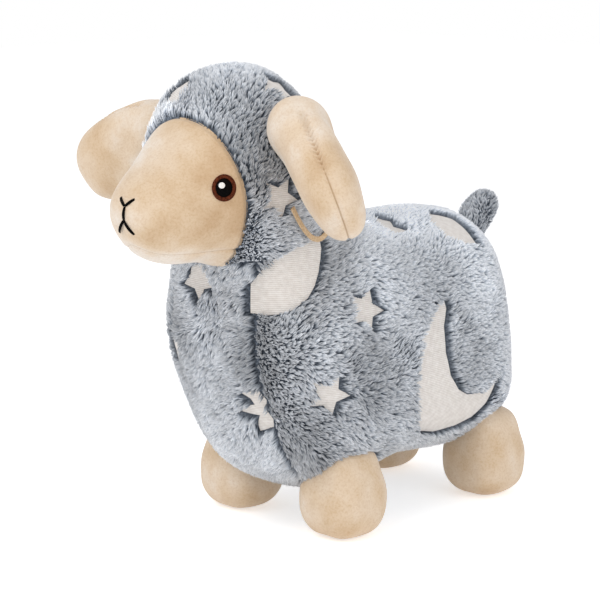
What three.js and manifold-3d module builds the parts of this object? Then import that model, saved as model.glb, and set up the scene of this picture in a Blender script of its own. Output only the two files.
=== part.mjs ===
// Plush sheep: a fur body and hood over fibre stuffing, with short-pile face, ears and feet.
// Millimetres, +Z up. The sheep looks along -Y and its own left side is +X.
import * as THREE from 'three';
import { mergeVertices } from 'three/addons/utils/BufferGeometryUtils.js';
import Module from 'manifold-3d';

const wasm = await Module();
wasm.setup();
const degrees = THREE.MathUtils.degToRad;

// Cloth and the clearances between sewn pieces
const fur_thickness = 4;
const velour_thickness = 1.6;
const stuffing_gap = 0.3;
const seam_gap = 0.4;
const joint_gap = 0.4;
const cut_overrun = 60;

// Body: a chest and a rump that run into one another
const body_width = 119;
const body_height = 131;
const belly_clearance = 22;
const chest_length = 118;
const chest_forward = 47;
const chest_pitch = degrees(18);
const rump_length = 111;
const rump_width = 114;
const rump_height = 130;
const rump_backward = 24.5;
const body_blend = 26;
const body_roundness_share = 0.74;
const rump_roundness_share = 0.715;
const rump_cross_roundness_share = 0.91;

// Neck: an oval stump ahead of the chest's middle, cut by a seam that slopes down to the throat
const neck_width = 84;
const neck_length = 72;
const neck_height = 64;
const neck_ahead = 28;
const neck_slope = degrees(21);
const neck_blend = 18;

// Head: skull, cheeks and muzzle in one stuffed form. Their places are measured from the neck seam
const skull_width = 85;
const skull_length = 78;
const skull_height = 88;
const skull_ahead = 13;
const skull_rise = 36;
const cheek_width = 76;
const cheek_length = 66;
const cheek_height = 69;
const cheek_ahead = 37;
const cheek_rise = 23;
const muzzle_width = 58;
const muzzle_length = 62;
const muzzle_height = 53;
const muzzle_ahead = 58;
const muzzle_rise = 12.3;
const head_blend = 12;
const face_seam_ahead = 42;
const face_seam_lean = degrees(11);
const chin_seam_drop = 2;

// Embroidered eyes, nose and mouth
const eye_width = 10.6;
const eye_height = 12.6;
const pupil_width = 7.5;
const pupil_height = 9;
const glint_width = 3.4;
const glint_rise = 1;
const glint_ahead = 0.8;
const eye_side = 33;
const eye_ahead = 54;
const eye_rise = 26.5;
const eye_facing = degrees(52);
const eye_lift = degrees(8);
const thread_relief = 0.9;
const thread_width = 1.3;
const nose_aside = 1.5;
const nose_rise = 17.9;
const nose_spread = 9.6;
const nostril_rise = 3.8;
const lip_drop = 6.3;
const mouth_spread = 10;
const mouth_drop = 6.5;

// Ears: plump pods that hang from a ball-shaped root
const ear_root_standoff = 3.5;
const ear_root_ahead = 20;
const ear_root_rise = { left: 54, right: 45.5 };
const ear_root_radius = 12.5;
const ear_length = 74.5;
const ear_width = 41.5;
const ear_thickness = 26.5;
const ear_blend = 13;
const pod_roundness_share = 0.81;
const ear_press = degrees(12);
const ear_raise = degrees(55);
const ear_droop = { left: degrees(47), right: degrees(28) };
const ear_sweep = { left: degrees(6), right: degrees(4.5) };
const ear_twist = { left: degrees(47), right: degrees(74) };

// Tail: a short stub just inside the rump's back end and below its top
const tail_root_inset = 1;
const tail_root_drop = 18.25;
const tail_root_radius = 8.5;
const tail_length = 35;
const tail_width = 18.5;
const tail_blend = 6;
const tail_lift = degrees(52);

// Feet: short round-bottomed stubs
const foot_forward = 53.5;
const foot_side = 36.5;
const foot_diameter = 39;
const foot_height = 36;
const ankle_diameter = 33;
const ankle_height = 36;
const ankle_centre_height = 29;
const foot_blend = 6;
const foot_flat = 0.5;

// Chest strip and belly strip in the fur
const chest_strip_width = 54;
const belly_strip_height = 42;
const belly_strip_forward = 74;
const belly_strip_backward = 62;

// Tape loop under the left ear
const tape_width = 2.6;
const tape_thickness = 0.8;
const tape_span = 32;
const tape_drop = 16.5;
const tape_ahead = 4;
const tape_rise = 15;
const tape_standoff = 0.8;
const tape_tuck = 2;
const tape_bow = 3.6;

// Facets around each stuffed form, and how many rings it has for each of them
const rings_share = 0.6;
const body_facets = 26;
const head_facets = 24;
const ear_facets = 16;
const tail_facets = 12;
const foot_facets = 14;
const eye_facets = 12;
const tape_steps = 14;
const press_steps = 3;
const raise_steps = 8;
const surface_halvings = 30;

// Colours as the photograph shows them
const cloth = (color, roughness) => new THREE.MeshStandardMaterial({ color, roughness, metalness: 0 });
const fur_cloth = () => cloth(0x8f9cab, 0.95);
const velour_cloth = () => cloth(0xe3cba8, 0.9);
const fibre = () => cloth(0xf1efe9, 1);
const brown_thread = () => cloth(0x5a3426, 0.6);
const black_thread = () => cloth(0x17130f, 0.6);
const white_thread = () => cloth(0xf5f2ec, 0.6);
const cotton_tape = () => cloth(0xd8bd97, 0.85);

// A place given as forward, to the left and up
const place = (forward, left, up) => new THREE.Vector3(left, -forward, up);

// Solids are joined and cut from closed meshes
function solidOf(geometry) {
  const bare = geometry.clone();
  bare.deleteAttribute('normal');
  bare.deleteAttribute('uv');
  const merged = mergeVertices(bare);
  return new wasm.Manifold(new wasm.Mesh({
    numProp: 3,
    vertProperties: new Float32Array(merged.attributes.position.array),
    triVerts: new Uint32Array(merged.index.array),
  }));
}

function geometryOf(solid) {
  const { vertProperties, triVerts } = solid.getMesh();
  const geometry = new THREE.BufferGeometry();
  geometry.setAttribute('position', new THREE.BufferAttribute(vertProperties, 3));
  geometry.setIndex(new THREE.BufferAttribute(triVerts, 1));
  geometry.computeVertexNormals();
  return geometry;
}

// How far a point is outside a rounded block: a roundness of 1 is an ellipsoid, and less is squarer.
// The roundness across the block can differ, and a block with a pitch leans forwards at the top.
function roundedBlock(centre, size, roundness, { across = roundness, pitch = 0 } = {}) {
  const half = size.clone().multiplyScalar(0.5);
  const powers = { x: 2 / across, y: 2 / roundness, z: 2 / roundness };
  const sideways = new THREE.Vector3(1, 0, 0);
  return (point) => {
    const offset = point.clone().sub(centre).applyAxisAngle(sideways, -pitch);
    let excess = -1;
    const slope = new THREE.Vector3();
    for (const side of ['x', 'y', 'z']) {
      const share = Math.abs(offset[side]) / half[side];
      excess += share ** powers[side];
      slope[side] = powers[side] * share ** (powers[side] - 1) / half[side];
    }
    return excess / slope.length();
  };
}

// Two forms that swell into one another over a given distance
function blend(first, second, distance) {
  return (point) => {
    const [a, b] = [first(point), second(point)];
    const near = Math.max(distance - Math.abs(a - b), 0) / distance;
    return Math.min(a, b) - near * near * distance / 4;
  };
}

// The closed surface that lies inset below a form, found outwards from a point inside it
function stuffedForm(form, middle, reach, facets, inset = 0, turn = 0) {
  const rings = Math.round(facets * rings_share);
  const geometry = new THREE.SphereGeometry(1, facets, rings).rotateZ(turn);
  const points = geometry.attributes.position;
  const direction = new THREE.Vector3();
  for (let i = 0; i < points.count; i += 1) {
    direction.fromBufferAttribute(points, i).normalize();
    let [inner, outer] = [0, reach];
    for (let halving = 0; halving < surface_halvings; halving += 1) {
      const radius = (inner + outer) / 2;
      const inside = form(direction.clone().multiplyScalar(radius).add(middle)) < -inset;
      [inner, outer] = inside ? [radius, outer] : [inner, radius];
    }
    points.setXYZ(i, ...direction.multiplyScalar(outer).add(middle));
  }
  return solidOf(geometry);
}

// A box that spans the given corners
function boxBetween(low, high) {
  const size = high.clone().sub(low);
  const middle = low.clone().add(high).multiplyScalar(0.5);
  return solidOf(new THREE.BoxGeometry(...size).translate(...middle));
}

const boxFrom = (forwards, lefts, ups) => boxBetween(
  new THREE.Vector3(lefts[0], -forwards[1], ups[0]),
  new THREE.Vector3(lefts[1], -forwards[0], ups[1]),
);

// Forms of the body, neck and head, as their outer cloth surface
const back_height = belly_clearance + body_height;
const rump_centre_height = belly_clearance + (body_height + rump_height) / 4;
const chest_form = roundedBlock(
  place(chest_forward, 0, (belly_clearance + back_height) / 2),
  new THREE.Vector3(body_width, chest_length, body_height),
  body_roundness_share,
  { pitch: chest_pitch },
);
const rump_form = roundedBlock(
  place(-rump_backward, 0, rump_centre_height),
  new THREE.Vector3(rump_width, rump_length, rump_height),
  rump_roundness_share,
  { across: rump_cross_roundness_share },
);
const neck_forward = chest_forward + neck_ahead;
const fromNeck = (ahead_of, left, rise) => place(neck_forward + ahead_of, left, back_height + rise);
const neck_centre = fromNeck(0, 0, 0);
const neck_form = roundedBlock(
  neck_centre,
  new THREE.Vector3(neck_width, neck_length, neck_height),
  body_roundness_share,
);
const trunk_form = blend(blend(chest_form, rump_form, body_blend), neck_form, neck_blend);
const cheek_centre = fromNeck(cheek_ahead, 0, cheek_rise);
const skull_form = roundedBlock(
  fromNeck(skull_ahead, 0, skull_rise),
  new THREE.Vector3(skull_width, skull_length, skull_height),
  1,
);
const cheek_form = roundedBlock(
  cheek_centre,
  new THREE.Vector3(cheek_width, cheek_length, cheek_height),
  1,
);
const muzzle_form = roundedBlock(
  fromNeck(muzzle_ahead, 0, muzzle_rise),
  new THREE.Vector3(muzzle_width, muzzle_length, muzzle_height),
  1,
);
const face_form = blend(cheek_form, muzzle_form, head_blend);
const head_form = blend(blend(skull_form, face_form, head_blend), neck_form, neck_blend);

// The face cloth lies as far below the hood's pile as it is thinner
const face_inset = fur_thickness - velour_thickness;
const core_inset = fur_thickness + stuffing_gap;

const trunk_middle = place(0, 0, (belly_clearance + back_height) / 2);
const trunk_reach = body_height + chest_length;
const trunk = (inset) => stuffedForm(trunk_form, trunk_middle, trunk_reach, body_facets, inset);
const head_middle = fromNeck(cheek_ahead - head_blend, 0, cheek_rise);
const head_reach = skull_length + muzzle_length;
const head = (inset) => stuffedForm(head_form, head_middle, head_reach, head_facets, inset);

// The neck seam's two sides, each half a joint gap from the seam
const seam_block = new THREE.BoxGeometry(trunk_reach * 2, trunk_reach * 2, trunk_reach);
const neck_turn = new THREE.Matrix4().makeRotationX(neck_slope);
function neckSide(up) {
  const lift = up * (trunk_reach + joint_gap) / 2;
  const block = seam_block.clone().translate(0, 0, lift).applyMatrix4(neck_turn);
  return solidOf(block.translate(...neck_centre));
}
const above_seam = neckSide(1);
const below_seam = neckSide(-1);

const sheep = new THREE.Group();
function piece(name, solid, material) {
  const mesh = new THREE.Mesh(geometryOf(solid), material);
  mesh.name = name;
  sheep.add(mesh);
  return mesh;
}

// Left and right halves of space, half a seam gap from the middle plane
const under = -cut_overrun;
const over = back_height + skull_rise + skull_height;
const ahead = neck_forward + muzzle_ahead + muzzle_length;
const half_of = { left: 1, right: -1 };
function sideZone(sign) {
  const lefts = [sign * seam_gap / 2, sign * body_width].sort((a, b) => a - b);
  return boxFrom([-ahead, ahead], lefts, [under, over]);
}

// Body stuffing and the socket that the tail's root turns in
const tail_root = place(
  tail_root_inset - rump_backward - rump_length / 2,
  0,
  rump_centre_height + rump_height / 2 - tail_root_drop,
);
const ball = (centre, radius, facets) => solidOf(
  new THREE.SphereGeometry(radius, facets, facets).translate(...centre),
);
const tail_socket = ball(tail_root, tail_root_radius + joint_gap, tail_facets);
piece('body_stuffing', trunk(core_inset).intersect(below_seam).subtract(tail_socket), fibre());

// Fur panels of the body: a chest strip, a belly strip and two sides that meet along the back
const body_skin = trunk(0).subtract(trunk(fur_thickness)).intersect(below_seam).subtract(tail_socket);
const strip_half = chest_strip_width / 2;
const chestZone = (grow) => boxFrom(
  [belly_strip_forward - grow, ahead],
  [-strip_half - grow, strip_half + grow],
  [under, over],
);
const bellyZone = (grow) => boxFrom(
  [-belly_strip_backward - grow, belly_strip_forward + grow],
  [-strip_half - grow, strip_half + grow],
  [under, belly_clearance + belly_strip_height + grow],
);
piece('chest_panel', body_skin.intersect(chestZone(0)).subtract(bellyZone(seam_gap)), fur_cloth());
piece('belly_panel', body_skin.intersect(bellyZone(0)), fur_cloth());
const body_sides = body_skin.subtract(chestZone(seam_gap)).subtract(bellyZone(seam_gap));
for (const [side, sign] of Object.entries(half_of)) {
  piece(`side_panel_${side}`, body_sides.intersect(sideZone(sign)), fur_cloth());
}

// Feet: a stuffed cloth stub, flat where it stands and open at the top, where the body's fur closes it
function footPart(spot, inset) {
  const low = spot.clone().add(place(0, 0, foot_height / 2 - foot_flat));
  const high = spot.clone().add(place(0, 0, ankle_centre_height));
  const foot_form = blend(
    roundedBlock(low, new THREE.Vector3(foot_diameter, foot_diameter, foot_height), body_roundness_share),
    roundedBlock(high, new THREE.Vector3(ankle_diameter, ankle_diameter, ankle_height), body_roundness_share),
    foot_blend,
  );
  return stuffedForm(foot_form, low, foot_height + ankle_height, foot_facets, inset);
}
const aboveGround = (gap) => boxFrom([-ahead, ahead], [-body_width, body_width], [gap, over]);
const trunk_room = trunk(-seam_gap);
for (const [end, forward] of [['front', foot_forward], ['rear', -foot_forward]]) {
  for (const [side, sign] of Object.entries(half_of)) {
    const spot = place(forward, sign * foot_side, 0);
    const sole_thickness = velour_thickness + stuffing_gap;
    const outer = footPart(spot, 0).intersect(aboveGround(0));
    const hollow = footPart(spot, velour_thickness).intersect(aboveGround(velour_thickness));
    const filling = footPart(spot, sole_thickness).intersect(aboveGround(sole_thickness));
    piece(`foot_cover_${end}_${side}`, outer.subtract(hollow).subtract(trunk_room), velour_cloth());
    piece(`foot_stuffing_${end}_${side}`, filling.subtract(trunk_room), fibre());
  }
}

// A pod: a ball root that swells into a flattened body, lying along +X from the root
function podForm(root_radius, length, width, thickness, distance) {
  const root_size = new THREE.Vector3(1, 1, 1).multiplyScalar(2 * root_radius);
  const root = roundedBlock(new THREE.Vector3(), root_size, 1);
  const tip_reach = length - root_radius;
  const middle = new THREE.Vector3(tip_reach / 2, 0, 0);
  const size = new THREE.Vector3(tip_reach, width, thickness);
  return { form: blend(root, roundedBlock(middle, size, pod_roundness_share), distance), middle };
}

// Turns a pod's own axes onto the animal: X along the pod, Y across its width, Z through it
function podPlace(root, along, twist) {
  const forward = place(1, 0, 0);
  const through = new THREE.Vector3().crossVectors(along, forward).normalize();
  const across = new THREE.Vector3().crossVectors(through, along);
  const axes = new THREE.Matrix4().makeBasis(along, across, through);
  axes.multiply(new THREE.Matrix4().makeRotationX(twist));
  return axes.setPosition(root);
}

// Where an ear lies: hanging, pressed further down towards the head, or raised where press is below zero
const ear_pod = podForm(ear_root_radius, ear_length, ear_width, ear_thickness, ear_blend);
function ear(side, inset, press = 0) {
  const droop = ear_droop[side] + press;
  const outward = Math.cos(ear_sweep[side]);
  const along = place(
    Math.sin(ear_sweep[side]),
    half_of[side] * Math.cos(droop) * outward,
    -Math.sin(droop) * outward,
  );
  const root_side = half_of[side] * (skull_width / 2 + ear_root_standoff);
  const root = fromNeck(ear_root_ahead, root_side, ear_root_rise[side]);
  const spot = podPlace(root, along, -half_of[side] * ear_twist[side]);
  const posed = (solid) => solid.transform(spot.elements);
  const pod = stuffedForm(ear_pod.form, ear_pod.middle, ear_length, ear_facets, inset, Math.PI / 2);
  return { pod, posed, root };
}

// Head stuffing, hood and face, cleared round each ear's root and where the ear can be moved to
const evenly = (steps, furthest) => Array.from({ length: steps }, (_, step) => furthest * (step + 1) / steps);
const ear_moves = [0, ...evenly(press_steps, ear_press), ...evenly(raise_steps, -ear_raise)];
let ear_sockets = null;
for (const side of Object.keys(half_of)) {
  for (const press of ear_moves) {
    const { pod, posed, root } = ear(side, -joint_gap, press);
    const cleared = posed(pod).add(ball(root, ear_root_radius + joint_gap, ear_facets));
    ear_sockets = ear_sockets ? ear_sockets.add(cleared) : cleared;
  }
}
const headPart = (outer, inner) => outer.subtract(inner).intersect(above_seam).subtract(ear_sockets);
const head_inner = head(fur_thickness);
piece('head_stuffing', head(core_inset).intersect(above_seam).subtract(ear_sockets), fibre());
const seam_lean = new THREE.Matrix4().makeRotationX(face_seam_lean);
function faceZone(low, high) {
  const block = new THREE.BoxGeometry(body_width * 2, ahead, high - low);
  block.translate(0, -(ahead + seam_gap) / 2, (low + high) / 2 - cheek_centre.z);
  const seam_place = fromNeck(face_seam_ahead, 0, cheek_rise);
  return solidOf(block.applyMatrix4(seam_lean).translate(...seam_place));
}
const hood = headPart(head(0), head_inner).subtract(faceZone(under, over));
for (const [side, sign] of Object.entries(half_of)) {
  piece(`hood_${side}`, hood.intersect(sideZone(sign)), fur_cloth());
}
const face_outer = head(face_inset);
const face_front = faceZone(under, over).translate([0, -seam_gap, 0]);
const face = headPart(face_outer, head_inner).intersect(face_front);
const chinZone = (grow) => boxFrom(
  [-ahead, ahead],
  [-body_width, body_width],
  [under, back_height - chin_seam_drop + grow],
);
piece('face_panel', face.subtract(chinZone(seam_gap)), velour_cloth());
piece('chin_panel', face.intersect(chinZone(0)), velour_cloth());

// Embroidery lies on the face cloth as a thin layer of thread
const thread_back = face_inset - stuffing_gap;
const thread_layer = head(thread_back - thread_relief).subtract(head(thread_back));
function ovalPrism(width, height, centre, turn, length) {
  const oval = new THREE.Shape().absellipse(0, 0, width / 2, height / 2, 0, Math.PI * 2);
  const sweep = { depth: length, bevelEnabled: false, curveSegments: eye_facets / 2 };
  const prism = new THREE.ExtrudeGeometry(oval, sweep);
  return solidOf(prism.translate(0, 0, -length / 2).applyMatrix4(turn).translate(...centre));
}
for (const [side, sign] of Object.entries(half_of)) {
  const centre = fromNeck(eye_ahead, sign * eye_side, eye_rise);
  const outward = place(Math.sin(eye_facing), sign * Math.cos(eye_facing), Math.sin(eye_lift)).normalize();
  const sideways = new THREE.Vector3().crossVectors(new THREE.Vector3(0, 0, 1), outward).normalize();
  const upward = new THREE.Vector3().crossVectors(outward, sideways);
  const turn = new THREE.Matrix4().makeBasis(sideways, upward, outward);
  const oval = (width, height, spot = centre) => ovalPrism(width, height, spot, turn, eye_width);
  const glint_spot = centre.clone().addScaledVector(upward, glint_rise);
  glint_spot.addScaledVector(sideways, -sign * glint_ahead);
  const layer = (solid) => solid.intersect(thread_layer);
  const pupil = oval(pupil_width, pupil_height);
  const pupil_room = oval(pupil_width + 2 * stuffing_gap, pupil_height + 2 * stuffing_gap);
  const glint_room = oval(glint_width + 2 * stuffing_gap, glint_width + 2 * stuffing_gap, glint_spot);
  piece(`eye_ring_${side}`, layer(oval(eye_width, eye_height).subtract(pupil_room)), brown_thread());
  piece(`pupil_${side}`, layer(pupil.subtract(glint_room)), black_thread());
  piece(`eye_glint_${side}`, layer(oval(glint_width, glint_width, glint_spot)), white_thread());
}

// Nose and mouth: a V, a short line and a spread pair of strokes, sewn through the muzzle
function stroke(from, to) {
  const [dx, dz] = [to[0] - from[0], to[1] - from[1]];
  const length = Math.hypot(dx, dz) + thread_width;
  const bar = new THREE.BoxGeometry(length, muzzle_length, thread_width);
  bar.rotateY(-Math.atan2(dz, dx));
  const middle = fromNeck(
    muzzle_ahead + muzzle_length / 2,
    nose_aside + (from[0] + to[0]) / 2,
    (from[1] + to[1]) / 2,
  );
  return solidOf(bar.translate(...middle));
}
const lip_rise = nose_rise - lip_drop;
let strokes = stroke([0, nose_rise], [0, lip_rise]);
for (const sign of Object.values(half_of)) {
  strokes = strokes.add(stroke([0, nose_rise], [sign * nose_spread / 2, nose_rise + nostril_rise]));
  strokes = strokes.add(stroke([0, lip_rise], [sign * mouth_spread / 2, lip_rise - mouth_drop]));
}
piece('nose_and_mouth_stitches', strokes.intersect(thread_layer), black_thread());

// Half of a pod's own space, above or below its edge seam
function podHalf(sign) {
  const ups = [sign * seam_gap / 2, sign * ear_width].sort((a, b) => a - b);
  return boxBetween(
    new THREE.Vector3(-ear_length, -ear_width, ups[0]),
    new THREE.Vector3(ear_length, ear_width, ups[1]),
  );
}

// Ears: outer and inner cloth over padding, seamed along the edge
for (const [side, sign] of Object.entries(half_of)) {
  const { pod, posed } = ear(side, 0);
  const skin = pod.subtract(ear(side, velour_thickness).pod);
  piece(`ear_outer_${side}`, posed(skin.intersect(podHalf(-sign))), velour_cloth());
  piece(`ear_inner_${side}`, posed(skin.intersect(podHalf(sign))), velour_cloth());
  piece(`ear_padding_${side}`, posed(ear(side, velour_thickness + stuffing_gap).pod), fibre());
}

// Tail: two fur halves over stuffing, standing up and back from the rump
const tail_along = place(-Math.cos(tail_lift), 0, Math.sin(tail_lift));
const tail_pod = podForm(tail_root_radius, tail_length, tail_width, tail_width, tail_blend);
const tail_spot = podPlace(tail_root, tail_along, 0);
function tail(inset) {
  const solid = stuffedForm(tail_pod.form, tail_pod.middle, tail_length, tail_facets, inset, Math.PI / 2);
  return solid.transform(tail_spot.elements);
}
const tail_skin = tail(0).subtract(tail(fur_thickness));
for (const [side, sign] of Object.entries(half_of)) {
  piece(`tail_fur_${side}`, tail_skin.intersect(sideZone(sign)), fur_cloth());
}
piece('tail_stuffing', tail(core_inset), fibre());

// Tape loop: a cotton tape bent into a U, both ends against the hood under the left ear
const tape_side = skull_width / 2 + tape_standoff;
const tape_route = new THREE.QuadraticBezierCurve3(
  fromNeck(tape_ahead + tape_span / 2, tape_side, tape_rise),
  fromNeck(tape_ahead, tape_side + tape_bow, tape_rise - 2 * tape_drop),
  fromNeck(tape_ahead - tape_span / 2, tape_side - tape_tuck, tape_rise),
);
const tape_section = new THREE.Shape([
  new THREE.Vector2(-tape_width / 2, -tape_thickness / 2),
  new THREE.Vector2(tape_width / 2, -tape_thickness / 2),
  new THREE.Vector2(tape_width / 2, tape_thickness / 2),
  new THREE.Vector2(-tape_width / 2, tape_thickness / 2),
]);
const tape = new THREE.ExtrudeGeometry(tape_section, { steps: tape_steps, extrudePath: tape_route });
piece('tape_loop', solidOf(tape).subtract(head(-stuffing_gap)), cotton_tape());

// The origin is under the middle of the whole toy, on the ground
const extent = new THREE.Box3().setFromObject(sheep);
const under_middle = extent.getCenter(new THREE.Vector3()).setZ(extent.min.z);
sheep.position.copy(under_middle).negate();
sheep.updateMatrixWorld(true);

export default sheep;
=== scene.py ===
# %% [markdown]
# # A plush sheep in two-tone fur
#
# The real toy is sewn from long-pile fur, short-pile velboa and embroidery thread, and stuffed with fibre.
# The CAD model gives the places and sizes. This lesson dresses it: every stuffed form is swollen again
# with far more points, and the fur is planted on it tuft by tuft.

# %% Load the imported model
import math
import bmesh
import bpy
import numpy as np
from mathutils import Matrix, Vector
from mathutils.kdtree import KDTree
from mathutils.geometry import delaunay_2d_cdt


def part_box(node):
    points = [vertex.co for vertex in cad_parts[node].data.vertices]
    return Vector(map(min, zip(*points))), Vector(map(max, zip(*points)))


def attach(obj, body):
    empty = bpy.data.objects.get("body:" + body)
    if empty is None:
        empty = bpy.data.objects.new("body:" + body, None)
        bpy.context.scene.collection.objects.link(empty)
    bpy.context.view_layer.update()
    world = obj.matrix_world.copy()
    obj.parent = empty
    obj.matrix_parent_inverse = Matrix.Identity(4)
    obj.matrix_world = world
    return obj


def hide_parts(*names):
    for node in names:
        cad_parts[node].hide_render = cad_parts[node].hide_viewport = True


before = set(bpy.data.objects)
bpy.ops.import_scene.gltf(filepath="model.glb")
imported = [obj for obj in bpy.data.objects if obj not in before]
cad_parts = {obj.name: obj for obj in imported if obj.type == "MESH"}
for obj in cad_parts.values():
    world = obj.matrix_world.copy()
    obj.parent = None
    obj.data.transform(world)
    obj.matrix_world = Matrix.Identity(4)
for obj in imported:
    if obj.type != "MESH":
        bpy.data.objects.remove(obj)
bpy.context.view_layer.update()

# %% [markdown]
# ## One ruler for every piece
#
# All sizes below are in millimetres from the point on the ground between the four feet: x to the
# sheep's left, y to its tail and z up. The feet of the CAD model say where that point lies in the frame, so
# nothing has to be fitted by eye.

# %% Ruler
MM = 0.001
feet = [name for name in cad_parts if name.startswith("foot_cover")]
between_feet = sum(((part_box(name)[0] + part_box(name)[1]) / 2 for name in feet), Vector()) / len(feet)
ORIGIN = np.array([between_feet.x, between_feet.y, 0.0])


def place(forward, left, up):
    """A place on the sheep as a row of x, y and z."""
    return np.array([left, -forward, up], float)


def to_frame(points):
    """Millimetres from between the feet, turned to the frame's metres."""
    return np.asarray(points) * MM + ORIGIN


def unit(vectors):
    return vectors / np.maximum(np.linalg.norm(vectors, axis=-1, keepdims=True), 1e-9)


print("between the feet", ORIGIN.round(4))

# %% [markdown]
# ## Colours and nodes
#
# Colours are written as the hex values that a colour picker shows, which are sRGB, while Blender mixes
# light in linear values. One function turns them over, and one small function adds a node with its settings
# and links, so that each material below reads as a short list.


# %% Material helpers
def linear(code):
    """An sRGB hex colour as Blender's linear red, green, blue and alpha."""
    parts = [int(code[i:i + 2], 16) / 255 for i in (1, 3, 5)]
    return [p / 12.92 if p <= 0.04045 else ((p + 0.055) / 1.055) ** 2.4 for p in parts] + [1.0]


def add(tree, kind, settings=None, links=None):
    """Adds a node. Settings are its own properties or input values, and links feed its inputs."""
    node = tree.nodes.new(kind)
    for key, value in (settings or {}).items():
        if isinstance(key, int) or key in node.inputs:
            node.inputs[key].default_value = value
        else:
            setattr(node, key, value)
    for key, source in (links or {}).items():
        tree.links.new(source, node.inputs[key])
    return node


def new_material(name, settings):
    """A material with one Principled shader, whose even values are set on the shader itself."""
    material = bpy.data.materials.new(name)
    material.use_nodes = True
    tree = material.node_tree
    shader = tree.nodes["Principled BSDF"]
    for key, value in settings.items():
        shader.inputs[key].default_value = value
    return material, tree, shader


def colour_steps(tree, steps, factor):
    """A colour ramp from (position, hex) pairs."""
    ramp = add(tree, "ShaderNodeValToRGB", links={"Fac": factor})
    stops = ramp.color_ramp.elements
    while len(stops) < len(steps):
        stops.new(0.5)
    for stop, (position, code) in zip(stops, steps):
        stop.position, stop.color = position, linear(code)
    return ramp.outputs["Color"]


# %% [markdown]
# ## Stuffed forms
#
# A stuffed toy has no flat faces: each panel swells until the cloth is tight. Cloth simulation could do
# that, but the filling is so firm here that a rounded block describes it well, and it gives the same surface
# on every run. Each form below says how far a point is outside it, two forms blend over a centimetre or two,
# and the surface is found along straight lines, by halving the stretch in which it lies.

# %% Forms
def block(centre, size, roundness=1.0, across=None, pitch=0.0):
    """A rounded block: roundness 1 is an ellipsoid, less is squarer, and across is that from side to side."""
    half = np.array(size, float) / 2
    powers = 2 / np.array([across or roundness, roundness, roundness])
    cosine, sine = math.cos(pitch), math.sin(pitch)

    def form(points):
        x, y, z = (points - centre).T
        shares = np.abs(np.stack([x, y * cosine + z * sine, z * cosine - y * sine], 1)) / half
        slope = np.linalg.norm(powers * shares ** (powers - 1) / half, axis=1)
        return ((shares ** powers).sum(1) - 1) / np.maximum(slope, 1e-9)

    return form


def blended(first, second, distance):
    """Two forms that swell into one another."""
    def form(points):
        a, b = first(points), second(points)
        near = np.maximum(distance - np.abs(a - b), 0) / distance
        return np.minimum(a, b) - near * near * distance / 4

    return form


def outward(form, points, step=0.05):
    """The direction in which each point leaves the form."""
    steps = np.eye(3) * step
    return unit(np.stack([form(points + s) - form(points - s) for s in steps], 1))


HALVINGS = 26


def surface_along(form, starts, directions, reach, inset, inwards=False):
    """Where lines from the starts, going out or inwards, cross the surface that lies inset below a form."""
    starts, directions = np.broadcast_arrays(starts, directions)
    near, far = np.zeros(len(starts)), np.full(len(starts), float(reach))
    for _ in range(HALVINGS):
        way = (near + far) / 2
        points = starts + directions * way[:, None]
        inside = form(points) < -(inset(points) if callable(inset) else inset)
        before = inside != inwards
        near, far = np.where(before, way, near), np.where(before, far, way)
    return starts + directions * far[:, None]


BELLY, BACK, NECK = 22, 153, 75
MID_HEIGHT = (BELLY + BACK) / 2
FUR, VELOUR = 4.0, 1.6
BODY_REACH, HEAD_REACH = 250, 140
chest_form = block(place(47, 0, MID_HEIGHT), (119, 118, 131), 0.74, pitch=math.radians(18))
rump_form = block(place(-24.5, 0, 87.25), (114, 111, 130), 0.715, across=0.91)
neck_form = block(place(NECK, 0, BACK), (84, 72, 64), 0.74)
trunk_form = blended(blended(chest_form, rump_form, 26), neck_form, 18)
skull_form = block(place(88, 0, 189), (85, 78, 88))
cheek_form = block(place(112, 0, 176), (76, 66, 69))
muzzle_form = block(place(133, 0, 165.3), (58, 62, 53))
face_form = blended(cheek_form, muzzle_form, 12)
head_form = blended(blended(skull_form, face_form, 12), neck_form, 18)
trunk_middle, head_middle = place(0, 0, MID_HEIGHT), place(100, 0, 176)
print("forms ready")

# %% [markdown]
# ## From points to pieces
#
# Meshes with many thousand faces are written in one go from arrays, which takes a blink where a loop
# takes minutes. Every piece is named, gets its material and rides on the CAD body that it is sewn to.


# %% Mesh helpers
def write_mesh(name, points, faces, material, uv=None, normals=None):
    """A mesh object from points in millimetres and lists of faces that have equal corner counts."""
    mesh = bpy.data.meshes.new(name)
    mesh.vertices.add(len(points))
    mesh.vertices.foreach_set("co", to_frame(points).astype(np.float32).ravel())
    corners = np.concatenate([np.ravel(group) for group in faces]).astype(np.int32)
    counts = np.concatenate([np.full(len(group), len(group[0])) for group in faces])
    mesh.loops.add(len(corners))
    mesh.loops.foreach_set("vertex_index", corners)
    mesh.polygons.add(len(counts))
    mesh.polygons.foreach_set("loop_start", np.concatenate([[0], np.cumsum(counts)[:-1]]).astype(np.int32))
    if uv is not None:
        layer = mesh.uv_layers.new(name=uv[0])
        layer.data.foreach_set("uv", uv[1][corners].astype(np.float32).ravel())
    mesh.update(calc_edges=True)
    mesh.polygons.foreach_set("use_smooth", np.full(len(counts), True))
    if normals is not None:
        layer = mesh.attributes.new("custom_normal", "FLOAT_VECTOR", "POINT")
        layer.data.foreach_set("vector", normals.astype(np.float32).ravel())
    mesh.materials.append(material)
    piece = bpy.data.objects.new(name, mesh)
    bpy.context.scene.collection.objects.link(piece)
    return piece


def places_of(piece):
    """A piece's vertices in millimetres from between the feet."""
    places = np.zeros(len(piece.data.vertices) * 3, np.float32)
    piece.data.vertices.foreach_get("co", places)
    return (places.reshape(-1, 3) - ORIGIN) / MM


def join_to(piece, body, replaced=()):
    """Attaches the piece to the body that it moves with, and hides the CAD nodes that it stands for."""
    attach(piece, body)
    if replaced:
        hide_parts(*replaced)
    return piece


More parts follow.
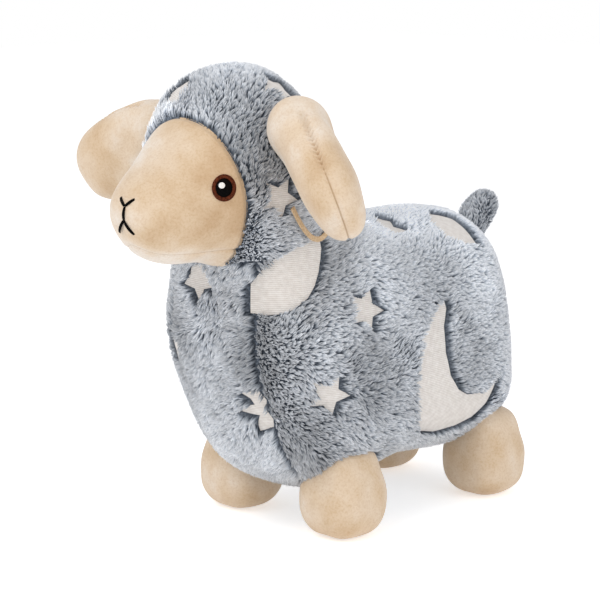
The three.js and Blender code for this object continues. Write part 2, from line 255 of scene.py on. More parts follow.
def ball_directions(detail):
    """Even directions all round, with the triangles between them."""
    ball = bmesh.new()
    bmesh.ops.create_icosphere(ball, subdivisions=detail, radius=1)
    directions = np.array([v.co for v in ball.verts])
    triangles = np.array([[v.index for v in f.verts] for f in ball.faces])
    ball.free()
    return unit(directions), triangles


def stuffed(name, form, middle, reach, inset, material, cuts=(), detail=7, turn=None):
    """A closed stuffed piece. Each cut is a plane's point and normal, and what is past it goes."""
    directions, triangles = ball_directions(detail)
    points = surface_along(form, middle, directions, reach, inset)
    if turn is not None:
        points = turn(points)
    piece = write_mesh(name, points, [triangles], material)
    if not cuts:
        return piece
    shape = bmesh.new()
    shape.from_mesh(piece.data)
    for point, normal in cuts:
        everything = shape.verts[:] + shape.edges[:] + shape.faces[:]
        found = bmesh.ops.bisect_plane(shape, geom=everything, plane_co=Vector(to_frame(point)),
                                       plane_no=Vector(normal), clear_outer=True)
        rim = [e for e in found["geom_cut"] if isinstance(e, bmesh.types.BMEdge)]
        bmesh.ops.holes_fill(shape, edges=rim, sides=0)
    shape.to_mesh(piece.data)
    shape.free()
    return piece


WAVES, WAVES_TOGETHER = 7, 2.6


def ripple(points, size, seed):
    """Smooth noise from about -1 to 1, a sum of waves that are about size millimetres long."""
    rng = np.random.default_rng(seed)
    waves = unit(rng.normal(size=(WAVES, 3))) * 2 * math.pi / (size * rng.uniform(0.7, 1.6, (WAVES, 1)))
    return np.sin(points @ waves.T + rng.uniform(0, 2 * math.pi, WAVES)).sum(1) / WAVES_TOGETHER


print("helpers ready")

# %% [markdown]
# ## Cloths and threads
#
# The fur is a polyester knit with a two-tone pile: each hair is dyed dark slate at its root and printed
# silver at its tip, so the coat looks frosted. In a mesh blade the same change of tone runs along its length,
# read from a UV map whose height is the way from root to tip and whose width is the blade's shade.
#
# A blade is one face thick, and its normals point out of the toy. Blender turns them round where a blade is
# seen from behind, which would light it from inside the toy and leave it black. The back of a blade is
# therefore translucent, which takes its light from the other side again.


# %% Fur materials
FUR_STEPS = [(0.0, "#4a515b"), (0.25, "#6b737e"), (0.5, "#a6adb6"), (0.8, "#dde0e5"), (1.0, "#f6f7f8")]


def fur_material(name):
    """Pile that is even in shine and two-tone along each blade."""
    material, tree, shader = new_material(
        name, {"Roughness": 0.75, "Sheen Weight": 0.15, "Sheen Roughness": 0.5})
    blade = add(tree, "ShaderNodeUVMap", {"uv_map": "OFBake"})
    parts = add(tree, "ShaderNodeSeparateXYZ", links={"Vector": blade.outputs["UV"]})
    frosted = colour_steps(tree, FUR_STEPS, parts.outputs["Y"])
    shade = add(tree, "ShaderNodeMapRange", {"To Min": 0.42, "To Max": 1.4}, {"Value": parts.outputs["X"]})
    mixed = add(tree, "ShaderNodeVectorMath", {"operation": "SCALE"},
                {"Vector": frosted, "Scale": shade.outputs["Result"]})
    tree.links.new(mixed.outputs["Vector"], shader.inputs["Base Color"])
    side = add(tree, "ShaderNodeNewGeometry")
    behind = add(tree, "ShaderNodeBsdfTranslucent", links={"Color": mixed.outputs["Vector"]})
    both = add(tree, "ShaderNodeMixShader", links={
        0: side.outputs["Backfacing"], 1: shader.outputs["BSDF"], 2: behind.outputs["BSDF"]})
    tree.links.new(both.outputs["Shader"], tree.nodes["Material Output"].inputs["Surface"])
    return material


FROSTED_FUR = fur_material("polyester_fur_frosted")


FLUFF = 1.5


def backing_material(name):
    """The dyed knit and the roots of the pile, as dark fluff."""
    material, tree, shader = new_material(name, {"Roughness": 0.95})
    where = add(tree, "ShaderNodeTexCoord")
    fluff = add(tree, "ShaderNodeTexNoise", {"Scale": 1 / (FLUFF * MM), "Detail": 2.0},
                {"Vector": where.outputs["Object"]})
    tone = colour_steps(tree, [(0.35, "#3d4550"), (0.65, "#6d7580")], fluff.outputs["Fac"])
    tree.links.new(tone, shader.inputs["Base Color"])
    return material


FUR_BACKING = backing_material("knit_backing_slate")


# %% [markdown]
# Where the pile is shorn away in stars and moons, the cream knit below shows its ribs. Real ribs are
# about 1 mm apart, which is two pixels in this picture, so they are drawn at their true size. At scale 1 the
# wave texture has twenty bands in a length of two pi, here in millimetres along the cloth.

# %% Knit material
RIB = 0.95


def knit_material(name):
    """Matt cream ribs, with faint clouds of about 3 mm."""
    material, tree, shader = new_material(
        name, {"Roughness": 0.9, "Sheen Weight": 0.2, "Sheen Roughness": 0.6})
    cloth = add(tree, "ShaderNodeUVMap", {"uv_map": "Cloth"})
    ribs = add(tree, "ShaderNodeTexWave",
               {"Scale": 2 * math.pi / (20 * RIB), "Distortion": 0.8, "Detail": 1.0, "Detail Scale": 0.4,
                "wave_profile": "SIN", "bands_direction": "Y"}, {"Vector": cloth.outputs["UV"]})
    lint = add(tree, "ShaderNodeTexNoise", {"Scale": 0.35, "Detail": 4.0}, {"Vector": cloth.outputs["UV"]})
    both = add(tree, "ShaderNodeMath", {"operation": "MULTIPLY_ADD", 1: 0.4},
               {0: ribs.outputs["Fac"], 2: lint.outputs["Fac"]})
    tone = colour_steps(tree, [(0.35, "#d0c8c0"), (0.75, "#e1dad3"), (1.0, "#eae5df")],
                        both.outputs["Value"])
    tree.links.new(tone, shader.inputs["Base Color"])
    relief = add(tree, "ShaderNodeBump", {"Strength": 0.5, "Distance": 0.25 * MM},
                 {"Height": ribs.outputs["Fac"]})
    tree.links.new(relief.outputs["Normal"], shader.inputs["Normal"])
    return material


SHORN_KNIT = knit_material("shorn_knit_cream")


# %% [markdown]
# The face, ears and feet are velboa, a knit with a pile of about a millimetre. Each vertex carries a number
# called Tone, from a deeper to a paler beige. On the face it is painted light and shade. It makes the ears
# paler at the root and deeper half way, and the feet darker towards the sole. Each vertex also carries its
# distance from the nearest seam, which draws the seam as a line of painted shade finer than the mesh could.
# Clouds of about 9 mm are marks of handling. The grain is the pile itself, whose fibres are too fine to show,
# so it is drawn about a millimetre coarse.

# %% Velboa material
CLOUD, GRAIN = 9.0, 1.1
VELBOA_STEPS = [(0.0, "#c8a985"), (0.35, "#d6bc9c"), (0.65, "#e0cbb2"), (1.0, "#e9ddcf")]


def velboa_material(name):
    """Soft short pile, in the tone that each vertex carries, with painted shade as a darker line along its
    seams.
    """
    material, tree, shader = new_material(
        name, {"Roughness": 0.85, "Sheen Weight": 0.3, "Sheen Roughness": 0.45})
    lay = add(tree, "ShaderNodeAttribute", {"attribute_name": "Tone"})
    where = add(tree, "ShaderNodeTexCoord")
    cloud = add(tree, "ShaderNodeTexNoise", {"Scale": 1 / (CLOUD * MM), "Detail": 5.0, "Roughness": 0.7},
                {"Vector": where.outputs["Object"]})
    grain = add(tree, "ShaderNodeTexNoise", {"Scale": 1 / (GRAIN * MM), "Detail": 3.0, "Roughness": 0.7},
                {"Vector": where.outputs["Object"]})
    # The tone, partly painted light and shade, is shifted by the clouds.
    tone_and_clouds = add(tree, "ShaderNodeMath", {"operation": "MULTIPLY_ADD", 1: 0.75},
                  {0: cloud.outputs["Fac"], 2: lay.outputs["Fac"]})
    lowered = add(tree, "ShaderNodeMath", {"operation": "SUBTRACT", 1: 0.36}, {0: tone_and_clouds.outputs["Value"]})
    base = colour_steps(tree, VELBOA_STEPS, lowered.outputs["Value"])
    dots = colour_steps(tree, [(0.3, "#e6d6c2"), (0.55, "#ffffff")], grain.outputs["Fac"])
    mixed = add(tree, "ShaderNodeMix", {"data_type": "RGBA", "blend_type": "MULTIPLY", "Factor": 0.5},
                {6: base, 7: dots})
    # Painted shade: a darker line along the grooves of the seams.
    from_seam = add(tree, "ShaderNodeAttribute", {"attribute_name": "Seam"})
    line = add(tree, "ShaderNodeMapRange",
               {"From Min": 0.1, "From Max": 0.55, "To Min": 0.75, "To Max": 0.0},
               {"Value": from_seam.outputs["Fac"]})
    sewn = add(tree, "ShaderNodeMix", {"data_type": "RGBA", 7: linear("#9a7852")},
               {"Factor": line.outputs["Result"], 6: mixed.outputs[2]})
    tree.links.new(sewn.outputs[2], shader.inputs["Base Color"])
    relief = add(tree, "ShaderNodeBump", {"Strength": 0.25, "Distance": 0.3 * MM},
                 {"Height": grain.outputs["Fac"]})
    tree.links.new(relief.outputs["Normal"], shader.inputs["Normal"])
    return material


AWAY_FROM_SEAMS = 9.0


def store_tone_and_seam(piece, lay, from_seam=None):
    """Stores the tone, 0 deep and 1 pale and partly painted light and shade, and how far each vertex is from
    a seam.
    """
    places = places_of(piece)
    distance = from_seam(places) if from_seam else np.full(len(places), AWAY_FROM_SEAMS)
    for name, values in (("Tone", np.clip(lay(places), 0, 1)), ("Seam", distance)):
        layer = piece.data.attributes.new(name, "FLOAT", "POINT")
        layer.data.foreach_set("value", values.astype(np.float32))


VELBOA = velboa_material("polyester_velboa_beige")


# %% [markdown]
# Embroidery thread is smooth rayon. Its many fine strands spread the shine, so the specular level is kept low
# and dark thread stays dark. The tape is woven cotton.

# %% Thread and tape materials
PLY = 0.9


def thread_material(name, hollow, crown):
    """Thread with painted shade in the hollows between its turns, which are darker than their crowns."""
    material, tree, shader = new_material(
        name, {"Roughness": 0.6, "IOR": 1.45, "Specular IOR Level": 0.05})
    where = add(tree, "ShaderNodeTexCoord")
    lay = add(tree, "ShaderNodeTexNoise", {"Scale": 1 / (PLY * MM), "Detail": 2.0},
              {"Vector": where.outputs["Object"]})
    tone = colour_steps(tree, [(0.35, hollow), (0.65, crown)], lay.outputs["Fac"])
    tree.links.new(tone, shader.inputs["Base Color"])
    relief = add(tree, "ShaderNodeBump", {"Strength": 0.4, "Distance": 0.2 * MM},
                 {"Height": lay.outputs["Fac"]})
    tree.links.new(relief.outputs["Normal"], shader.inputs["Normal"])
    return material


BROWN_THREAD = thread_material("rayon_thread_brown", "#3a1a0e", "#64301d")
BLACK_THREAD = thread_material("rayon_thread_black", "#010101", "#080606")
WHITE_THREAD = thread_material("rayon_thread_white", "#e6e3de", "#faf8f4")
COTTON_TAPE = thread_material("woven_cotton_tape", "#bd9f7c", "#d3b896")

# %% [markdown]
# ## Body and hood backing
#
# The knit that carries the pile lies a few millimetres under the tips. It is drawn dark, as the dyed roots
# are, and pulled in along the seams, where the pile parts. The neck seam's plane cuts body from head.

# %% Backing
PILE = 3.3
NECK_LEAN, FACE_LEAN = math.radians(21), math.radians(11)
NECK_POINT, NECK_NORMAL = place(NECK, 0, BACK), place(math.sin(NECK_LEAN), 0, math.cos(NECK_LEAN))
FACE_POINT, FACE_NORMAL = place(117, 0, 176), place(math.cos(FACE_LEAN), 0, -math.sin(FACE_LEAN))
STRIP, STRIP_START, BACK_SEAM_START = 27.0, 74, 100
SEAM_WIDTH = 3.0


def beside(distance, width=SEAM_WIDTH):
    """1 on a seam, and falling to 0 a few millimetres beside it."""
    return np.exp(-(distance / width) ** 2)


def past(distance, soft):
    """0 before a line and 1 past it, with a soft step between them."""
    return 1 / (1 + np.exp(-distance / soft))


def body_seams(points):
    """How near each point is to the seams beside the chest strip and to the seam along the back."""
    x, y, z = points.T
    front = past(-STRIP_START - y, 3)
    top = past(z - BACK_SEAM_START, 6)
    return np.maximum(beside(np.abs(x) - STRIP) * front, 0.6 * beside(x) * top * (1 - front))


def lumps(points, spots):
    """How much deeper the surface lies where the filling is thin, given as (place, radius, depth)."""
    return sum(depth * np.exp(-((points - spot) ** 2).sum(1) / radius ** 2) for spot, radius, depth in spots)


# Hollows lie high beside the rump, along the back and low beside the chest. Swells lie low beside the rump,
# before the tail and high beside the chest. The hood swells over the right eye and is hollow behind the left
# ear.
BODY_LUMPS = [(place(-68, 40, 112), 26, 4.0), (place(-64, 42, 50), 18, -3.5), (place(0, 0, 150), 34, 2.0),
              (place(-64, 0, 149), 13, -4.0), (place(84, 40, 56), 28, 3.2), (place(94, 32, 127), 16, -3.0)]
HOOD_LUMPS = [(place(107, -27, 213), 17, -4.0), (place(60, 22, 224), 26, 3.0)]


def body_inset(points):
    """The seams are pulled in, the belly is drawn up between the feet, and the filling lies unevenly."""
    x, y, z = points.T
    drawn_up = np.exp(-(y / 24) ** 2 - ((z - BELLY) / 20) ** 2)
    mirrored = np.stack([np.abs(x), y, z], 1)
    return PILE + 0.6 * body_seams(points) + 4.0 * drawn_up + lumps(mirrored, BODY_LUMPS)


def head_inset(points):
    """The hood's middle seam is pulled in, and its filling is uneven too."""
    return PILE + 0.5 * beside(points[:, 0], 2.0) + lumps(points, HOOD_LUMPS)


body_backing = stuffed("body_backing", trunk_form, trunk_middle, BODY_REACH, body_inset, FUR_BACKING,
                       [(NECK_POINT, NECK_NORMAL)])
join_to(body_backing, "body",
        ["body_stuffing", "chest_panel", "belly_panel", "side_panel_left", "side_panel_right"])
hood_backing = stuffed("hood_backing", head_form, head_middle, HEAD_REACH, head_inset, FUR_BACKING,
                       [(NECK_POINT, -NECK_NORMAL), (FACE_POINT, FACE_NORMAL)])
join_to(hood_backing, "head", ["head_stuffing", "hood_left", "hood_right"])
print("backing faces", len(body_backing.data.polygons), len(hood_backing.data.polygons))

# %% [markdown]
# ## Ears and tail
#
# Ears and tail are pods: a round root that swells into a bag, which is flattened on the ears. Each lies
# along its own line, as the CAD pods do. The ears' edge seam is a groove, with small puckers from the
# stitches near the root. It crosses over slowly, because the ear is twisted.


# %% Pods
def pod_form(root, length, width, thickness, distance):
    """A pod along +x from its root, and the middle from which its surface is found."""
    reach = length - root
    middle = np.array([reach / 2, 0, 0])
    bag = block(middle, (reach, width, thickness), 0.81)
    return blended(block(np.zeros(3), (2 * root,) * 3), bag, distance), middle


def pod_turn(root, along, twist):
    """Two functions, of which one turns places in a pod's own axes onto the sheep and the other back."""
    through = unit(np.cross(along, place(1, 0, 0)))
    axes = np.stack([along, np.cross(through, along), through], 1)
    turned = axes @ np.array(Matrix.Rotation(twist, 3, "X"))
    return (lambda points: points @ turned.T + root), (lambda points: (points - root) @ turned)


EAR_LENGTH = 74.5
EAR_FORM, EAR_MIDDLE = pod_form(root=12.5, length=EAR_LENGTH, width=41.5, thickness=26.5, distance=13)
EARS = {"left": dict(sign=1, height=207, droop=47, sweep=6, twist=47),
        "right": dict(sign=-1, height=198.5, droop=28, sweep=4.5, twist=74)}
STITCH, PUCKERED = 2.6, 36


def ear_seam(points):
    """Distances along the ear and from its edge seam, and shares of a pucker and of the root's end."""
    along = points[:, 0]
    aside = np.abs(points[:, 2] - 0.087 * along + 3.2)
    pucker = 0.5 + 0.5 * np.sin(2 * math.pi * (along + 0.8 * aside) / STITCH)
    return along, aside, pucker, past(PUCKERED - along, 3)


def ear_inset(points):
    """The edge seam's groove, with its puckers near the root."""
    along, aside, pucker, near_root = ear_seam(points)
    groove = (0.9 - 0.4 * near_root) * beside(aside, 1.0) + 1.7 * pucker * near_root * beside(aside, 2.2)
    return past(along - 4, 1.5) * groove + 0.25 * ripple(points, 16, 5)


def ear_tone(points):
    """Pale at the root, deeper half way, and cloudy."""
    x = points[:, 0]
    return 0.6 - 0.25 * beside(x - 38, 16.0) + 0.15 * beside(x, 22.0) + 0.12 * ripple(points, 15, 41)


def ear_seam_shade(points):
    """The seam's painted shade shows as a line towards the tip, and as short marks where it is puckered."""
    along, aside, pucker, near_root = ear_seam(points)
    mark = pucker ** 2
    return aside * (1 - 0.65 * near_root * mark) + near_root * (0.7 - 0.42 * mark)


for side, ear in EARS.items():
    droop, sweep, twist = (math.radians(ear[angle]) for angle in ("droop", "sweep", "twist"))
    outwards = math.cos(sweep)
    along = place(math.sin(sweep), ear["sign"] * math.cos(droop) * outwards, -math.sin(droop) * outwards)
    ear["root"] = place(95, 46 * ear["sign"], ear["height"])
    ear["turn"], ear["back"] = pod_turn(ear["root"], along, -ear["sign"] * twist)
    cloth = stuffed(f"ear_cloth_{side}", EAR_FORM, EAR_MIDDLE, EAR_LENGTH, ear_inset, VELBOA,
                    turn=ear["turn"])
    store_tone_and_seam(cloth, lambda points: ear_tone(ear["back"](points)), lambda points: ear_seam_shade(ear["back"](points)))
    join_to(cloth, f"ear_{side}",
            [f"{part}_{side}" for part in ("ear_outer", "ear_inner", "ear_padding")])

LIFT = math.radians(52)
TAIL_ROOT = place(-81, 0, 133)
TAIL_WAY, TAIL_FRONT = place(-math.cos(LIFT), 0, math.sin(LIFT)), place(math.sin(LIFT), 0, math.cos(LIFT))
TAIL_LENGTH = 35
TAIL_FORM, TAIL_MIDDLE = pod_form(root=8.5, length=TAIL_LENGTH, width=18.5, thickness=18.5, distance=6)
tail_turn, tail_back = pod_turn(TAIL_ROOT, TAIL_WAY, 0)


def tail_inset(points):
    """The tail thins towards its tip, mostly on the side that faces the head."""
    facing = (tail_turn(points) - TAIL_ROOT) @ TAIL_FRONT
    return 2.4 + (1.0 + 6.5 * np.clip(facing / 9, 0, 1)) * np.clip((points[:, 0] - 6) / 20, 0, 1)


tail_backing = stuffed("tail_backing", TAIL_FORM, TAIL_MIDDLE, TAIL_LENGTH, tail_inset, FUR_BACKING, detail=5,
                       turn=tail_turn)
join_to(tail_backing, "tail", ["tail_fur_left", "tail_fur_right", "tail_stuffing"])
print("ears and tail on")

# %% [markdown]
# ## Feet
#
# The feet are short stuffed stubs of the same velboa. Each is a low block that swells into a slimmer one,
# whose top is hidden in the body, and the weight of the toy presses its sole flat.

# %% Feet
FOOT_MIDDLE, FOOT_REACH, SOLE_EDGE = place(0, 0, 17.5), 72, 12


def foot_form(spot):
    """A low block under a slimmer one, which leads into the body."""
    low = block(spot + FOOT_MIDDLE, (39, 39, 36), 0.74)
    high = block(spot + place(0, 0, 29), (33, 33, 36), 0.74)
    return blended(low, high, 6)


FEET = {f"{end}_{side}": place(forward, left, 0)
        for end, forward in (("front", 53.5), ("rear", -53.5))
        for side, left in (("left", 36.5), ("right", -36.5))}
for name, spot in FEET.items():
    cloth = stuffed(f"foot_cloth_{name}", foot_form(spot), spot + FOOT_MIDDLE, FOOT_REACH,
                    lambda points: 0.15 * ripple(points, 15, 8), VELBOA, detail=6)
    for vertex in cloth.data.vertices:
        vertex.co.z = max(vertex.co.z, 0.0)
    store_tone_and_seam(cloth, lambda points: 0.5 - 0.2 * np.clip((SOLE_EDGE - points[:, 2]) / SOLE_EDGE, 0, 1)
          + 0.12 * ripple(points, 14, 42))
    join_to(cloth, "body", [f"foot_cover_{name}", f"foot_stuffing_{name}"])
print("feet on")

# %% [markdown]
# ## Face
#
# The face is a separate velboa cap. It meets the hood in a seam that is pulled in all round, and a second
# seam runs across under the muzzle. Both are cut into the surface as shallow grooves.

# %% Face cloth
FACE_INSET = FUR - VELOUR
CHIN_SEAM, ARCH, ARCH_WIDTH = 148, 4.3, 9.0


def from_chin_seam(points):
    """The seam runs level under the cheeks and arches up a little below the mouth."""
    return points[:, 2] - CHIN_SEAM - ARCH * beside(points[:, 0], ARCH_WIDTH)


def face_inset(points):
    """The face is pulled in at both seams, and hollow low on the right of the muzzle."""
    from_hood = (points - FACE_POINT) @ FACE_NORMAL
    hollow = lumps(points, [(place(158, -10, 155), 13, 1.6)])
    return (FACE_INSET + 0.8 * beside(from_hood, 1.3) + 0.6 * beside(from_chin_seam(points), 0.9) + hollow
            + 0.15 * ripple(points, 20, 3))


def face_painted_shade(points):
    """Painted light on the chin and the sheep's right, and painted shade on its left and towards the hood."""
    below = past(2 - from_chin_seam(points), 2)
    edge = beside((points - FACE_POINT) @ FACE_NORMAL, 9.0)
    return 0.62 - 0.013 * (points[:, 0] + 5) - 0.25 * edge + 0.5 * below + 0.12 * ripple(points, 16, 43)


face_cloth = stuffed("face_cloth", head_form, head_middle, HEAD_REACH, face_inset, VELBOA,
                     [(FACE_POINT - 0.5 * FACE_NORMAL, -FACE_NORMAL)], detail=8)
store_tone_and_seam(face_cloth, face_painted_shade, lambda points: np.abs(from_chin_seam(points)) + 0.25)
join_to(face_cloth, "head", ["face_panel", "chin_panel"])

# %% [markdown]
# ## Embroidered eyes, nose and mouth
#
# The eyes are satin stitched: a brown ring, a black pupil and a white dot, each a raised pad of thread. Every
# pad is a round grid that is laid onto the face and domed by about a millimetre. Its edge wavers a little, as
# the ends of stitches do.


# %% Eyes
STANDOFF, INWARD_REACH = 25, 60
SUNK = 0.25


def laid_on(form, flat, spot, level, upright, out, inset):
    """Flat points that are laid on a form, straight in from a plane that stands off a spot."""
    raised = spot + flat[:, :1] * level + flat[:, 1:] * upright + out * STANDOFF
    return surface_along(form, raised, -out, INWARD_REACH, inset, inwards=True)


def ring_faces(rings, turns):
    """Faces with four corners between rings of points."""
    index = np.arange(rings * turns).reshape(rings, turns)
    ahead = np.roll(index, -1, 1)
    return np.stack([index[:-1], ahead[:-1], ahead[1:], index[1:]], 2).reshape(-1, 4)


def stitched_oval(name, centre, across, upward, facing, outer, inner, relief, material):
    """A domed pad of stitches between two ovals, given as half sizes, on the face."""
    rings, turns = 9, 72
    share = np.linspace(0, 1, rings)[:, None, None]
    angle = np.linspace(0, 2 * math.pi, turns, endpoint=False)[None, :, None]
    inner, outer = np.array(inner, float), np.array(outer, float)
    ragged = 1 + 0.012 * np.sin(angle * 31) + 0.008 * np.sin(angle * 47 + 1)
    half = inner + (outer - inner) * share * ragged
    flat = np.concatenate([half[..., :1] * np.cos(angle), half[..., 1:] * np.sin(angle)], 2).reshape(-1, 2)
    surface = laid_on(head_form, flat, centre, across, upward, facing, FACE_INSET)
    way_out = np.repeat(share.ravel(), turns)
    rim = 2 * way_out - 1 if inner.any() else way_out
    dome = np.sqrt(np.maximum(1 - np.abs(rim) ** 2.6, 0))
    points = surface + facing * (relief * dome - SUNK)[:, None]
    return write_mesh(name, points, [ring_faces(rings, turns)[:, [0, 3, 2, 1]]], material)


EYE_FACING, EYE_LIFT = math.radians(52), math.radians(8)
for side, ear in EARS.items():
    sign = ear["sign"]
    facing = unit(place(math.sin(EYE_FACING), sign * math.cos(EYE_FACING), math.sin(EYE_LIFT)))
    across = unit(np.cross([0, 0, 1], facing))
    upward = np.cross(facing, across)
    centre = place(129, 33 * sign, 179.5)
    glint = centre + 1.0 * upward - 0.8 * sign * across
    for part, spot, outer, inner, relief, thread, slot in (
            ("eye_ring", centre, (5.3, 6.3), (3.5, 4.2), 0.9, BROWN_THREAD, "brown_thread"),
            ("pupil", centre, (3.8, 4.5), (0, 0), 1.05, BLACK_THREAD, "black_thread"),
            ("eye_glint", glint, (1.75, 1.75), (0, 0), 1.5, WHITE_THREAD, "white_thread")):
        pad = stitched_oval(f"{part}_stitches_{side}", spot, across, upward, facing, outer, inner, relief,
                            thread)
        join_to(pad, "head", [f"{part}_{side}"])

# %% [markdown]
# The nose and mouth are a few long stitches of doubled black thread. Each is a tube along the face that dips
# into the cloth at both ends, as a stitch does.


# %% Nose and mouth
def thread_along(points, radii, sides=10):
    """A tube along a path, as points and quads."""
    way = unit(np.gradient(points, axis=0))
    side = unit(np.cross(way, place(1, 0, 0)))
    over = np.cross(side, way)
    angle = np.linspace(0, 2 * math.pi, sides, endpoint=False)
    rings = (points[:, None] + radii[:, None, None] * (
        np.cos(angle)[None, :, None] * side[:, None] + np.sin(angle)[None, :, None] * over[:, None]))
    return rings.reshape(-1, 3), ring_faces(len(points), sides)


# Two stitches rise from the nose's point to its corners, one runs down to the lip, and two slope on from it.
ASIDE, NOSE, LIP = 1.5, 170.9, 164.6
DOUBLED, BEFORE_FACE = 0.28, 185.0
strokes = [((ASIDE, NOSE), (ASIDE, LIP))]
for sign in (1, -1):
    strokes += [((ASIDE, NOSE), (ASIDE + sign * 4.8, NOSE + 3.8)),
                ((ASIDE, LIP), (ASIDE + sign * 5, LIP - 6.5))]
stitch_points, stitch_quads = [], []
for start, end in strokes:
    for shift in (-DOUBLED, DOUBLED):
        share = np.linspace(0, 1, 15)[:, None]
        flat = np.array(start) * (1 - share) + np.array(end) * share
        aside = unit(np.array([end[1] - start[1], start[0] - end[0]], float)) * shift
        starts = np.stack([flat[:, 0] + aside[0], np.full(len(flat), -BEFORE_FACE), flat[:, 1] + aside[1]], 1)
        path = surface_along(head_form, starts, -place(1, 0, 0), INWARD_REACH, FACE_INSET, inwards=True)
        swell = np.sin(np.pi * share.ravel()) ** 0.35
        path -= outward(head_form, path) * (0.5 - 0.75 * swell)[:, None]
        tube, quads = thread_along(path, 0.18 + 0.28 * swell)
        stitch_quads.append(quads + sum(len(p) for p in stitch_points))
        stitch_points.append(tube)
stitches = write_mesh("nose_and_mouth_thread", np.concatenate(stitch_points),
                      [np.concatenate(stitch_quads)], BLACK_THREAD)
join_to(stitches, "head", ["nose_and_mouth_stitches"])
print("face done")

# %% [markdown]
# ## Stars and moons
#
# The pattern of stars and moons is shorn into the pile. Each patch is cut as a flat outline in millimetres,
# laid on the stuffed form at its own spot and turned in the surface. The fur is then planted round it, so the
# edge is made by the pile itself. In the photograph the shapes differ, so the patches that show best have an
# outline of their own, and the others are a plain star or a crescent.


# %% Patch outlines
def star(radius, turn, waist=0.47):
    """A five-pointed star, turned by some degrees. The waist is how far in its inner corners lie."""
    angle = math.radians(90 + turn) + np.arange(10) * math.pi / 5
    reach = np.where(np.arange(10) % 2 == 0, radius, radius * waist)
    return np.stack([reach * np.cos(angle), reach * np.sin(angle)], 1)


def crescent(radius, bite, shift, turn):
    """A disc with a smaller disc bitten out of it, shift away from its middle."""
    along = (radius ** 2 - bite ** 2 + shift ** 2) / (2 * shift)
    horn = math.sqrt(radius ** 2 - along ** 2)
    outer_end, inner_end = math.atan2(horn, along), math.atan2(horn, along - shift)
    outer = np.linspace(outer_end, 2 * math.pi - outer_end, 36)
    inner = np.linspace(2 * math.pi - inner_end, inner_end, 26)[1:-1]
    points = np.concatenate([radius * np.stack([np.cos(outer), np.sin(outer)], 1),
                             bite * np.stack([np.cos(inner), np.sin(inner)], 1) + [shift, 0]])
    cosine, sine = math.cos(math.radians(turn)), math.sin(math.radians(turn))
    return points @ np.array([[cosine, sine], [-sine, cosine]])


def tangent(form, spot):
    """The two directions in the surface at a spot, level and upward, and the way out."""
    out = outward(form, spot[None])[0]
    upright = np.array([0, 0, 1.0]) if abs(out[2]) < 0.8 else np.array([0, 1.0, 0])
    level = unit(np.cross(upright, out))
    return level, np.cross(out, level), out


def inside_outline(outline, flat):
    """Which flat points lie within the outline."""
    x, y = flat.T
    within = np.zeros(len(flat), bool)
    for (x0, y0), (x1, y1) in zip(outline, np.roll(outline, -1, 0)):
        crosses = (y0 > y) != (y1 > y)
        within ^= crosses & (x < (x1 - x0) * (y - y0) / (y1 - y0 + 1e-12) + x0)
    return within


def finer(outline, step=0.8):
    """The outline with points no further apart than step."""
    points = []
    for a, b in zip(outline, np.roll(outline, -1, 0)):
        count = max(int(np.linalg.norm(b - a) / step), 1)
        points += [a + (b - a) * k / count for k in range(count)]
    return np.array(points)


PATCHES = []
GRID, RIM_GAP, RAISED = 1.2, 0.6, 0.35


def shear(name, body, form, middle, spot, outline):
    """Lays a shorn patch of knit on a form, and keeps its outline for the planting."""
    spot = surface_along(form, middle, unit(spot - middle)[None], BODY_REACH, PILE)[0]
    level, upright, out = tangent(form, spot)
    rim = finer(outline)
    rows = [np.arange(low, high, GRID) for low, high in zip(rim.min(0), rim.max(0))]
    grid = np.stack(np.meshgrid(*rows), 2).reshape(-1, 2)
    gap = np.linalg.norm(grid[:, None] - rim[None], axis=2).min(1)
    flat = np.concatenate([rim, grid[inside_outline(outline, grid) & (gap > RIM_GAP)]])
    edge = [(i, (i + 1) % len(rim)) for i in range(len(rim))]
    found = delaunay_2d_cdt([Vector(p) for p in flat], edge, [], 1, 1e-4)
    flat = np.array([list(p) for p in found[0]])
    backing = body_inset if body == "body" else head_inset
    points = laid_on(form, flat, spot, level, upright, out, lambda places: backing(places) - RAISED)
    faces = np.array([f for f in found[2] if len(f) == 3])
    patch = write_mesh(name, points, [faces], SHORN_KNIT, uv=("Cloth", flat))
    join_to(patch, body)
    PATCHES.append((body, spot, level, upright, out, outline))


BODY, HEAD = ("body", trunk_form, trunk_middle), ("head", head_form, head_middle)
SIDE_MOON = np.array([(-3.4, 41.4), (-13.9, 35.5), (-21.7, 27), (-25.9, 13.8), (-27.3, -1.6), (-24.5, -12),
                      (-20.8, -20.5), (-13.5, -26.8), (2, -31), (17.3, -30.6), (28, -27), (35, -20),
                      (38.6, -11), (40, -3), (33, -9), (25.7, -11.5), (16, -11.3), (7.2, -6.8), (-0.7, 2),
                      (-4.9, 14.5), (-5.5, 27.5), (-2.4, 36)])
NECK_MOON = np.array([(-19.5, -3), (-15, 4), (-9.8, 9), (-4, 13), (2.8, 16.5), (8, 19), (13.6, 21),
                      (15, 12.2), (14.2, 7.5), (12.6, 1.5), (9.8, -4.5), (5.5, -10), (-2.1, -15),
                      (-8.1, -17), (-14, -17.5), (-19.8, -17)])
SEAM_STAR = np.array([(-3.8, 9.4), (3.4, 10.1), (6.3, 5.3), (4.9, -0.4), (7.3, -5.7), (6.6, -10.1),
                      (-1.3, -13), (-1.4, -8.6), (0.7, -3.7), (-9.3, -2.9), (-7, 1), (-0.6, 2.2),
                      (-2.2, 5.5), (-7.2, 7.9)])
RUMP_MOON = np.array([(-21.2, 3.3), (-17.8, 8.8), (-12.4, 14.1), (-3.4, 13), (4.9, 11.9), (12.8, 11.5),
                      (10.3, 6.8), (9.7, -0.8), (7.2, -6.5), (2.6, -10.1), (-4.1, -9.3), (-12.1, -5.9)])
